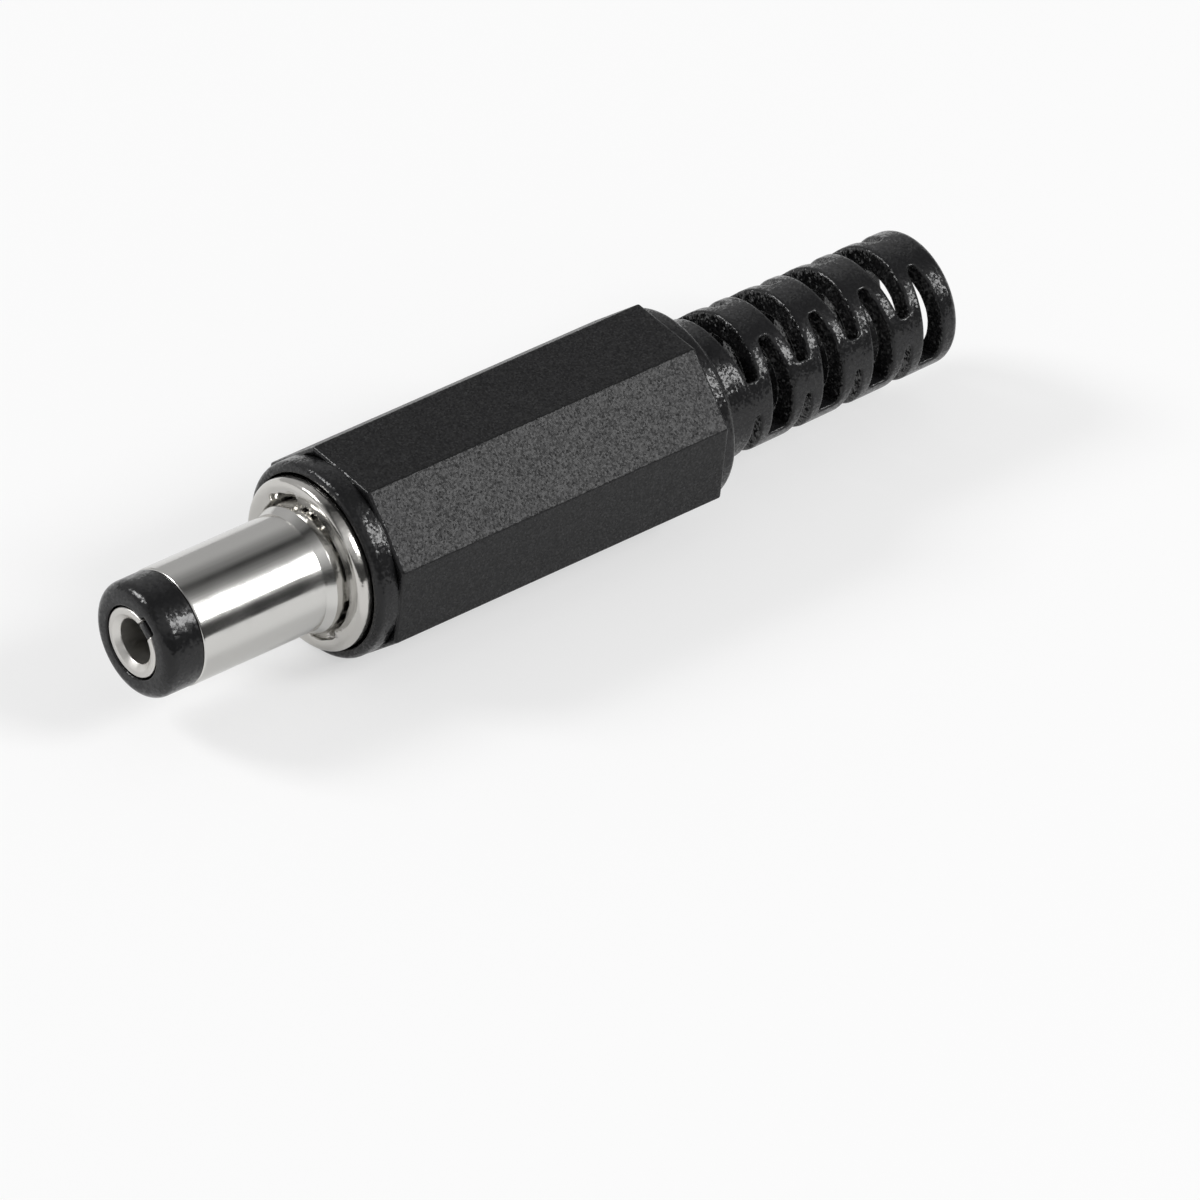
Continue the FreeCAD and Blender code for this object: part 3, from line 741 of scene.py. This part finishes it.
# %% Surface nets
def surface_net(distance, low, high, cell):
    """Points and quads of the zero level of a distance, between two corners of a box.

    On a grid edge from a negative to a positive value the surface lies at the share
    near / (near - far), as on a straight line.
    """
    axes = [np.arange(start, stop + cell, cell) for start, stop in zip(low, high)]
    grid = np.stack(np.meshgrid(*axes, indexing="ij"), -1)
    value = distance(grid)
    cells = np.array(value.shape) - 1
    total = np.zeros(tuple(cells) + (3,))
    crossings = np.zeros(tuple(cells))
    edges = []
    for axis in range(3):
        first = np.delete(np.arange(value.shape[axis]), -1)
        near, far = value.take(first, axis), value.take(first + 1, axis)
        crossed = (near < 0) != (far < 0)
        share = np.where(crossed, near / np.where(crossed, near - far, 1), 0)
        place = grid.take(first, axis) + share[..., None] * cell * np.eye(3)[axis]
        others = [other for other in range(3) if other != axis]
        for shift in ((0, 0), (0, 1), (1, 0), (1, 1)):
            window = [slice(None)] * 3
            for other, step in zip(others, shift):
                window[other] = slice(step, step + cells[other])
            hit = crossed[tuple(window)]
            total += np.where(hit[..., None], place[tuple(window)], 0)
            crossings += hit
        edges.append((axis, others, crossed, near < 0))
    number = np.full(tuple(cells), -1)
    number[crossings > 0] = np.arange((crossings > 0).sum())
    points = total[crossings > 0] / crossings[crossings > 0][:, None]
    return points, np.vstack([edge_quads(number, *edge) for edge in edges])


def edge_quads(number, axis, others, crossed, inside):
    """One quad for each crossed grid edge along an axis, between the four cells round the edge."""
    window = [slice(None)] * 3
    for other in others:
        window[other] = slice(1, -1)
    index = np.argwhere(crossed[tuple(window)])
    for other in others:
        index[:, other] += 1
    flip = inside[tuple(index.T)] ^ (axis == 1)
    corners = []
    for shift in ((1, 1), (0, 1), (0, 0), (1, 0)):
        cell_index = index.copy()
        cell_index[:, others[0]] -= shift[0]
        cell_index[:, others[1]] -= shift[1]
        corners.append(number[tuple(cell_index.T)])
    quad = np.stack(corners, -1)
    quad[~flip] = quad[~flip][:, ::-1]
    return quad


def slope(distance, points, step=0.004):
    """The direction in which a distance grows, by differences over a small step both ways."""
    steps = np.eye(3) * step
    return np.stack([distance(points + s) - distance(points - s) for s in steps], -1) / (2 * step)


ball = surface_net(lambda place: np.linalg.norm(place, axis=-1) - 1, [-1.3] * 3, [1.3] * 3, 0.2)
print("a ball as a net has", len(ball[0]), "points and", len(ball[1]), "faces")

# %% [markdown]
# The points of the net lie near the surface, so each is then moved by its own distance along the
# slope, three times, and by half a cell at most. The points at the front stay in the flat face
# where the relief meets the grip.

# %% Make the strain relief
CELL = 0.088
LEAST_SLOPE = 0.2
reach = STEP_RADIUS + 2 * CELL
net_points, net_quads = surface_net(relief_distance, (relief_back - 2 * CELL, -reach, -reach),
                                    (REAR_COLLAR_BACK + 2 * CELL, reach, reach), CELL)
seam = net_points[:, 0] > REAR_COLLAR_BACK - CELL
for _ in range(3):
    towards = slope(relief_distance, net_points)
    steepness = np.maximum((towards ** 2).sum(1), LEAST_SLOPE)[:, None]
    step = relief_distance(net_points)[:, None] * towards / steepness
    net_points = net_points - np.where(seam[:, None], 0, np.clip(step, -CELL / 2, CELL / 2))
net_points[seam, 0] = np.minimum(net_points[seam, 0], REAR_COLLAR_BACK)
relief = new_piece("strain_relief", "hood", "hood", "hood_moulding", (net_points, net_quads))

# %% [markdown]
# ## Finishes
# Each finish starts from the real material and how its surface was made. Colours are sRGB hex
# values. Patterns read Object coordinates, which are metres, so a pattern of a given size in
# millimetres has the scale 1000 / size.


# %% Colour and node helpers
def colour(code):
    """An sRGB hex value as linear red, green and blue with full alpha."""
    value = np.array([int(code[i:i + 2], 16) for i in (1, 3, 5)]) / 255
    linear = np.where(value <= 0.04045, value / 12.92, ((value + 0.055) / 1.055) ** 2.4)
    return (*linear.tolist(), 1.0)


def add(tree, kind, inputs, **settings):
    """Adds a node. An input is a plain value or the (node, output) that feeds it."""
    made = tree.nodes.new(kind)
    for name, value in settings.items():
        setattr(made, name, value)
    for name, value in inputs.items():
        if isinstance(value, tuple) and isinstance(value[0], bpy.types.Node):
            tree.links.new(value[0].outputs[value[1]], made.inputs[name])
        else:
            made.inputs[name].default_value = value
    return made


def new_finish(name):
    """An empty material with its tree and its place coordinates."""
    finish = bpy.data.materials.new(name)
    finish.use_nodes = True
    tree = finish.node_tree
    tree.nodes.clear()
    place = add(tree, "ShaderNodeTexCoord", {})
    return finish, tree, (place, "Object")


def per_mm(size):
    """The scale of a pattern whose grain has this size in millimetres."""
    return 1 / (size * MM)


print("a grain of 0.1 mm has the scale", round(per_mm(0.1)))

# %% [markdown]
# Bright nickel on a drawn tube is a mirror with a haze: the die leaves faint lines along the tube,
# a few hundredths of a millimetre apart, and handling leaves small soft stains. Both change the
# roughness, and the lines also tilt the surface a little. They are drawn twice as far apart as
# they are, or the picture wouldn't show them.


# %% Bright nickel on the drawn barrel
def drawn_nickel():
    """Nickel plate on drawn brass: noise stretched along the tube for the lines of the die."""
    finish, tree, place = new_finish("bright_nickel_drawn")
    along = add(tree, "ShaderNodeMapping", {"Vector": place, "Scale": (0.03, 1, 1)})
    lines = add(tree, "ShaderNodeTexNoise", {
        "Vector": (along, 0), "Scale": per_mm(0.09), "Detail": 3.0})
    stains = add(tree, "ShaderNodeTexNoise", {
        "Vector": place, "Scale": per_mm(1.6), "Detail": 4.0})
    mixed = add(tree, "ShaderNodeMath", {
        0: (lines, "Fac"), 1: 0.5, 2: (stains, "Fac")}, operation="MULTIPLY_ADD")
    rough = add(tree, "ShaderNodeMapRange", {
        "Value": (mixed, 0), "From Min": 0.4, "From Max": 1.1, "To Min": 0.1, "To Max": 0.24})
    bump = add(tree, "ShaderNodeBump", {
        "Height": (lines, "Fac"), "Strength": 0.35, "Distance": 0.004 * MM})
    shader = add(tree, "ShaderNodeBsdfPrincipled", {
        "Base Color": colour("#cecdca"), "Metallic": 1.0, "Roughness": (rough, 0),
        "Normal": (bump, 0)})
    add(tree, "ShaderNodeOutputMaterial", {"Surface": (shader, 0)})
    return finish


BRIGHT_DRAWN = drawn_nickel()
print(BRIGHT_DRAWN.name, "has", len(BRIGHT_DRAWN.node_tree.nodes), "nodes")

# %% [markdown]
# The collar was turned, so its marks are rings round the axis: they depend on the distance from
# the axis and on x, and are drawn nearly as coarse as the barrel's lines. Its face is a little
# uneven from the staking, most of all near the recess, where the tool left small scars that break
# the reflections up.


# %% Bright nickel on the turned collar
def turned_nickel():
    """Nickel plate on turned brass: noise over (x, distance from the axis) for the tool's marks."""
    finish, tree, place = new_finish("bright_nickel_turned")
    parts = add(tree, "ShaderNodeSeparateXYZ", {0: place})
    flat = add(tree, "ShaderNodeCombineXYZ", {1: (parts, 1), 2: (parts, 2)})
    away = add(tree, "ShaderNodeVectorMath", {0: (flat, 0)}, operation="LENGTH")
    ring = add(tree, "ShaderNodeCombineXYZ", {0: (parts, 0), 1: (away, "Value")})
    marks = add(tree, "ShaderNodeTexNoise", {
        "Vector": (ring, 0), "Scale": per_mm(0.07), "Detail": 2.0})
    dents = add(tree, "ShaderNodeTexNoise", {
        "Vector": place, "Scale": per_mm(0.5), "Detail": 3.0})
    rough = add(tree, "ShaderNodeMapRange", {
        "Value": (dents, "Fac"), "From Min": 0.3, "From Max": 0.7, "To Min": 0.09, "To Max": 0.2})
    fine = add(tree, "ShaderNodeBump", {
        "Height": (marks, "Fac"), "Strength": 0.4, "Distance": 0.006 * MM})
    uneven = add(tree, "ShaderNodeBump", {
        "Height": (dents, "Fac"), "Strength": 0.5, "Distance": 0.03 * MM, "Normal": (fine, 0)})
    scars = add(tree, "ShaderNodeTexNoise", {
        "Vector": place, "Scale": per_mm(0.24), "Detail": 3.0})
    near = add(tree, "ShaderNodeMapRange", {
        "Value": (away, "Value"), "From Min": 3.15 * MM, "From Max": 3.6 * MM,
        "To Min": 0.6, "To Max": 0.0})
    scarred = add(tree, "ShaderNodeBump", {
        "Height": (scars, "Fac"), "Strength": (near, 0), "Distance": 0.06 * MM,
        "Normal": (uneven, 0)})
    shader = add(tree, "ShaderNodeBsdfPrincipled", {
        "Base Color": colour("#cac8c4"), "Metallic": 1.0, "Roughness": (rough, 0),
        "Normal": (scarred, 0)})
    add(tree, "ShaderNodeOutputMaterial", {"Surface": (shader, 0)})
    return finish


BRIGHT_TURNED = turned_nickel()
print(BRIGHT_TURNED.name, "has", len(BRIGHT_TURNED.node_tree.nodes), "nodes")

# %% [markdown]
# The contact has a duller, warmer nickel, satin from barrel plating. The tags are tinned:
# grey-white, soft and blotchy, because tin flows and then scuffs.


# %% Satin nickel on the contact, tin on the tags
def plated(name, code, rough_low, rough_high, grain):
    """A plated metal whose roughness wanders between two values, in patches of a given size."""
    finish, tree, place = new_finish(name)
    patches = add(tree, "ShaderNodeTexNoise", {
        "Vector": place, "Scale": per_mm(grain), "Detail": 5.0})
    rough = add(tree, "ShaderNodeMapRange", {
        "Value": (patches, "Fac"), "From Min": 0.3, "From Max": 0.7,
        "To Min": rough_low, "To Max": rough_high})
    bump = add(tree, "ShaderNodeBump", {
        "Height": (patches, "Fac"), "Strength": 0.3, "Distance": 0.02 * MM})
    shader = add(tree, "ShaderNodeBsdfPrincipled", {
        "Base Color": colour(code), "Metallic": 1.0, "Roughness": (rough, 0),
        "Normal": (bump, 0)})
    add(tree, "ShaderNodeOutputMaterial", {"Surface": (shader, 0)})
    return finish


SATIN_NICKEL = plated("satin_nickel", "#d2d0cc", rough_low=0.28, rough_high=0.4, grain=0.4)
TIN = plated("tin_plate", "#c9c7c0", rough_low=0.3, rough_high=0.5, grain=0.8)
print(SATIN_NICKEL.name, "and", TIN.name, "are made")

# %% [markdown]
# The black parts are moulded. The mould was spark eroded: each spark leaves a crater about a
# twentieth of a millimetre wide, and its print on the plastic is a small mirror that faces its own
# way. So each cell of a Voronoi pattern gets its own tilt, and a highlight breaks into bright
# specks. Craters of the real size would melt into plain grey in the picture, so they are drawn
# about twice as wide. On the eight flats the tilt is larger and the skin duller, which gives their
# sandy look. The blades that form the slots in the mould are only ground, so the walls of the
# slots have the strongest tilt and glitter a little in the shade. Their black is also darker than
# the rest of the moulding, though it is the same plastic: that darker black is painted shade in the
# slots. Black plastic is never quite black: 2 to 4% of the light comes back from its skin, and the
# pigment gives a little more.


# %% Black moulding, bright or sandy
def black_moulding(name, code, rough, grain, tilt, skin):
    """Black plastic with one random tilt for each crater of the mould, added to a faint swell."""
    finish, tree, place = new_finish(name)
    cells = add(tree, "ShaderNodeTexVoronoi", {"Vector": place, "Scale": per_mm(grain)})
    lean = add(tree, "ShaderNodeVectorMath", {
        0: (cells, "Color"), 1: (0.5, 0.5, 0.5)}, operation="SUBTRACT")
    lean = add(tree, "ShaderNodeVectorMath", {
        0: (lean, 0), "Scale": 2 * tilt}, operation="SCALE")
    wave = add(tree, "ShaderNodeTexNoise", {
        "Vector": place, "Scale": per_mm(1.1), "Detail": 2.0})
    swell = add(tree, "ShaderNodeBump", {
        "Height": (wave, "Fac"), "Strength": 0.3, "Distance": 0.05 * MM})
    facing = add(tree, "ShaderNodeVectorMath", {
        0: (swell, 0), 1: (lean, 0)}, operation="ADD")
    facing = add(tree, "ShaderNodeVectorMath", {0: (facing, 0)}, operation="NORMALIZE")
    shader = add(tree, "ShaderNodeBsdfPrincipled", {
        "Base Color": colour(code), "Roughness": rough, "IOR": 1.5, "Specular IOR Level": skin,
        "Normal": (facing, 0)})
    add(tree, "ShaderNodeOutputMaterial", {"Surface": (shader, 0)})
    return finish


GLOSSY_BLACK = black_moulding("bright_black_moulding", "#1c1c1d",
                              rough=0.19, grain=0.12, tilt=0.07, skin=0.31)
SPECKED_BLACK = black_moulding("specked_black_moulding", "#1d1d1e",
                               rough=0.2, grain=0.09, tilt=0.11, skin=0.28)
# The walls of the slots get a darker black than the rest of the relief: painted shade in the slots.
SLOT_BLACK_PAINTED_SHADE = black_moulding("cored_black_moulding", "#0e0e0f",
                             rough=0.28, grain=0.09, tilt=0.34, skin=0.5)
SANDY_BLACK = black_moulding("sandy_black_moulding", "#151516",
                             rough=0.38, grain=0.08, tilt=0.15, skin=0.255)
print("four black mouldings, each with", len(SANDY_BLACK.node_tree.nodes), "nodes")

# %% [markdown]
# Each piece wears one finish, but the grip and the relief wear two. The eight flats are found by
# how far from the axis their faces lie, and the walls of the slots by the way theirs point.

# %% Give each piece its finish
for piece, finish in ((barrel, BRIGHT_DRAWN), (collar, BRIGHT_TURNED), (contact, SATIN_NICKEL),
                      (centre_tag, TIN), (sleeve_lug, TIN), (nose, GLOSSY_BLACK),
                      (disc, GLOSSY_BLACK), (relief, SPECKED_BLACK), (grip, SPECKED_BLACK)):
    piece.data.materials.clear()
    piece.data.materials.append(finish)
    print(piece.name, "wears", finish.name)
for node in frame["nodes"].values():
    node.data.materials.clear()
    node.data.materials.append(GLOSSY_BLACK)

# %% A second finish on the flats and in the slots
FLAT_MARGIN = 0.02
ALONG_THE_AXIS = 0.8
END_RING_MARGIN = 0.3


def of_faces(piece, what):
    """One row of three numbers for each face: its centre in millimetres, or its normal."""
    measured = np.zeros(len(piece.data.polygons) * 3)
    piece.data.polygons.foreach_get(what, measured)
    return measured.reshape(-1, 3) / (MM if what == "center" else 1)


def second_finish(piece, finish, faces):
    """Gives the chosen faces of a piece a finish of their own."""
    piece.data.materials.append(finish)
    piece.data.polygons.foreach_set("material_index", faces.astype(np.int32))
    print(faces.sum(), "faces of", piece.name, "wear", finish.name)


centres = of_faces(grip, "center")
on_flats = np.hypot(centres[:, 1], centres[:, 2]) > half_flat - FLAT_MARGIN
on_flats &= (centres[:, 0] < GRIP_FRONT - EDGE) & (centres[:, 0] > GRIP_BACK + EDGE)
second_finish(grip, SANDY_BLACK, on_flats)
# The walls of the slots wear the darker black, which is painted shade in the slots.
in_slots = np.abs(of_faces(relief, "normal")[:, 0]) > ALONG_THE_AXIS
in_slots &= of_faces(relief, "center")[:, 0] > end_ring_front - END_RING_MARGIN
second_finish(relief, SLOT_BLACK_PAINTED_SHADE, in_slots)

# %% [markdown]
# ## Studio
# The floor is plain white paper that keeps the plug's shadow. For the camera some pure white is
# mixed in, so that the floor looks as pale as a photograph's background, and mirrors see a little
# of it too.

# %% Floor
FLOOR_REACH = 1.5
WHITE_TO_CAMERA = 0.55
WHITE_IN_MIRRORS = 0.25
floor_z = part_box("hood")[0].z
floor_mesh = bpy.data.meshes.new("floor")
floor_mesh.from_pydata([(x * FLOOR_REACH, y * FLOOR_REACH, floor_z)
                        for x, y in ((-1, -1), (1, -1), (1, 1), (-1, 1))], [], [(0, 1, 2, 3)])
floor = bpy.data.objects.new("floor", floor_mesh)
bpy.context.scene.collection.objects.link(floor)
paper, tree = new_finish("white_paper")[:2]
sheet = add(tree, "ShaderNodeBsdfDiffuse", {"Color": colour("#f2f2f2")})
clean = add(tree, "ShaderNodeEmission", {"Color": (1, 1, 1, 1), "Strength": 1.0})
ray = add(tree, "ShaderNodeLightPath", {})
mirrored = add(tree, "ShaderNodeMath", {
    0: (ray, "Is Glossy Ray"), 1: (ray, "Is Transmission Ray")}, operation="ADD")
mirrored = add(tree, "ShaderNodeMath", {
    0: (mirrored, 0), 1: WHITE_IN_MIRRORS}, operation="MULTIPLY")
part = add(tree, "ShaderNodeMath", {
    0: (ray, "Is Camera Ray"), 1: WHITE_TO_CAMERA, 2: (mirrored, 0)}, operation="MULTIPLY_ADD")
both = add(tree, "ShaderNodeMixShader", {0: (part, 0), 1: (sheet, 0), 2: (clean, 0)})
add(tree, "ShaderNodeOutputMaterial", {"Surface": (both, 0)})
floor_mesh.materials.append(paper)
print("the floor lies at z", round(floor_z / MM, 2))

# %% [markdown]
# Bright metal is a mirror, so it shows the room. The room is a ramp of grey over the angle round
# the plug's axis, which is 0 at the horizon on the camera's side, 90 overhead and 180 at the far
# horizon. A dark wall stands at the near horizon, and a dark gap overhead gives the barrel its
# grey band. Only mirror rays see this ramp: the light on the object comes from a plain grey world,
# and the camera sees white.

# %% Room
PLAIN_LIGHT = 0.42
# Pairs of an angle in degrees and the grey there.
ROOM = [(-180, 0.5), (-90, 0.5), (-20, 0.3), (-10, 0.06), (22, 0.05), (30, 0.4), (60, 0.95),
        (70, 0.52), (79, 0.27), (89, 0.16), (96, 0.05), (101, 0.05), (108, 0.22), (118, 0.28),
        (128, 0.4), (140, 0.55), (180, 0.5)]
world = bpy.data.worlds.new("studio")
bpy.context.scene.world = world
world.use_nodes = True
tree = world.node_tree
tree.nodes.clear()
direction = add(tree, "ShaderNodeTexCoord", {})
parts = add(tree, "ShaderNodeSeparateXYZ", {0: (direction, "Generated")})
turn = add(tree, "ShaderNodeMath", {0: (parts, 2), 1: (parts, 1)}, operation="ARCTAN2")
share = add(tree, "ShaderNodeMapRange", {
    "Value": (turn, 0), "From Min": -np.pi, "From Max": np.pi})
ramp = add(tree, "ShaderNodeValToRGB", {"Fac": (share, 0)})
bands = ramp.color_ramp.elements
for angle, _ in ROOM[1:-1]:
    bands.new((angle + 180) / 360)
for band, (angle, grey) in zip(bands, ROOM):
    band.position = (angle + 180) / 360
    band.color = (grey, grey, grey, 1)
ray = add(tree, "ShaderNodeLightPath", {})
room = add(tree, "ShaderNodeBackground", {"Color": (ramp, "Color"), "Strength": 1.0})
plain = add(tree, "ShaderNodeBackground", {
    "Color": (PLAIN_LIGHT, PLAIN_LIGHT, PLAIN_LIGHT, 1), "Strength": 1.0})
white = add(tree, "ShaderNodeBackground", {"Color": (1, 1, 1, 1), "Strength": 1.0})
mirrored = add(tree, "ShaderNodeMath", {
    0: (ray, "Is Glossy Ray"), 1: (ray, "Is Transmission Ray")}, operation="ADD")
shown = add(tree, "ShaderNodeMixShader", {0: (mirrored, 0), 1: (plain, 0), 2: (room, 0)})
behind = add(tree, "ShaderNodeMixShader", {
    0: (ray, "Is Camera Ray"), 1: (shown, 0), 2: (white, 0)})
add(tree, "ShaderNodeOutputWorld", {"Surface": (behind, 0)})
print("the room has", len(bands), "greys")

# %% [markdown]
# Two soft square lights, about equally strong at the plug, stand above the floor: the key on the
# right of the camera, whose mirror image is the white band along the barrel, and the front light
# on the left, for the faces towards the tip.

# %% Lights
MIDDLE = (-0.013, 0, 0)


def soft_light(name, place, size, power, target):
    """A square area light at a place in metres, turned towards the target."""
    lamp = bpy.data.lights.new(name, "AREA")
    lamp.size = size
    lamp.energy = power
    holder = bpy.data.objects.new(name, lamp)
    bpy.context.scene.collection.objects.link(holder)
    holder.location = place
    away = Vector(place) - Vector(target)
    holder.rotation_euler = away.to_track_quat("Z", "Y").to_euler()
    print(f"{name} light, {power} W, {away.length:.2f} m away")


soft_light("key", (-0.296, 0.338, 0.350), 0.18, 1.65, MIDDLE)
soft_light("front", (0.385, -0.41, 0.42), 0.2, 2.6, MIDDLE)

# %% [markdown]
# ## Camera
# The photograph was taken from far away with a long lens. Its camera was found from the plug
# itself: the octagon, the barrel's circles and the slots fix where it stood and how it was turned.

# %% Camera
# Where it stands, which way the picture's right and down point, and the focal length in pixels.
CAMERA_PLACE = Vector((270.749, 303.228, 326.575)) * MM
CAMERA_RIGHT = Vector((-0.76753, 0.63521, 0.08608))
CAMERA_DOWN = Vector((0.34938, 0.52713, -0.77464))
FOCAL_PIXELS = 11980.7
PHOTO_PIXELS = 1200
lens = bpy.data.cameras.new("camera")
lens.sensor_width = 36
lens.lens = lens.sensor_width * FOCAL_PIXELS / PHOTO_PIXELS
camera = bpy.data.objects.new("camera", lens)
bpy.context.scene.collection.objects.link(camera)
back = CAMERA_RIGHT.cross(-CAMERA_DOWN)
camera.matrix_world = Matrix.Translation(CAMERA_PLACE) @ Matrix((
    CAMERA_RIGHT, -CAMERA_DOWN, back)).transposed().to_4x4()
bpy.context.scene.camera = camera
bpy.context.scene.view_settings.view_transform = "Standard"
print(f"camera {CAMERA_PLACE.length:.2f} m away with a lens of {lens.lens:.0f} mm")
